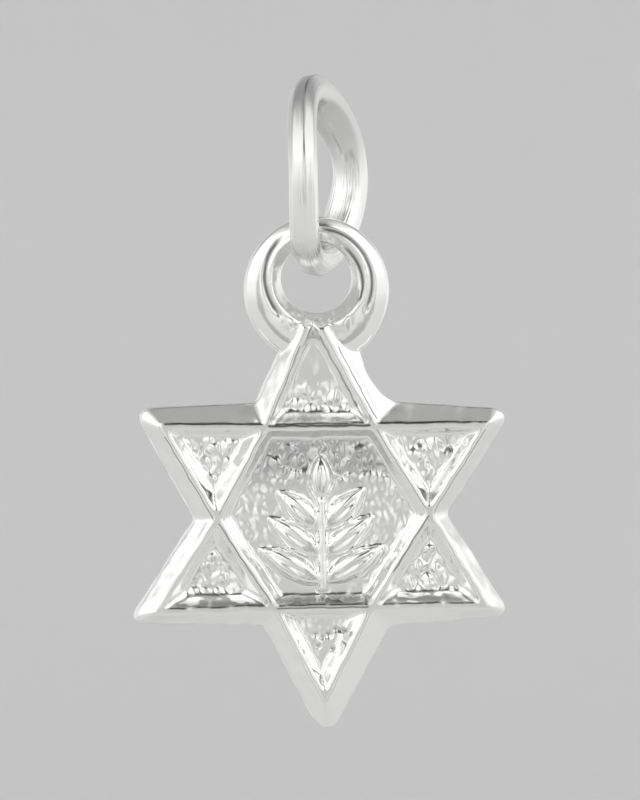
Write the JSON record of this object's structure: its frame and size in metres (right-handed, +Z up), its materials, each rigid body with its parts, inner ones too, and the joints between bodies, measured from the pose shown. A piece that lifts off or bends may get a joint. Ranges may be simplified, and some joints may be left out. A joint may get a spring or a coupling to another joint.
{
  "type": "star of david pendant",
  "caption": "Cast hexagram charm with sunk cells between raised bars and a leafy sprig in its middle, hanging by its ring from a loose round wire bail.",
  "frame": {"origin": "seat of the chain: the top of the bail's opening, under its wire", "axes": "+X to the star's right seen from its front, +Y towards its back, +Z up along the hanging pendant"},
  "size_m": [0.0143, 0.007, 0.0252],
  "materials": {
    "cast_silver": "cast silver, tumbled bright on its bars, with a finely pebbled skin in the sunk cells",
    "polished_wire": "polished silver wire with drawn lines along it and worn flats"
  },
  "bodies": {
    "bail": {"bail": "polished_wire"},
    "star": {"star": "cast_silver"}
  },
  "joints": [
    {"name": "star_swing", "type": "hinge", "parent": "bail", "child": "star", "pos_m": [0, 0, -0.0059], "axis": [0, 1, 0], "range_deg": [-60, 60]}
  ]
}
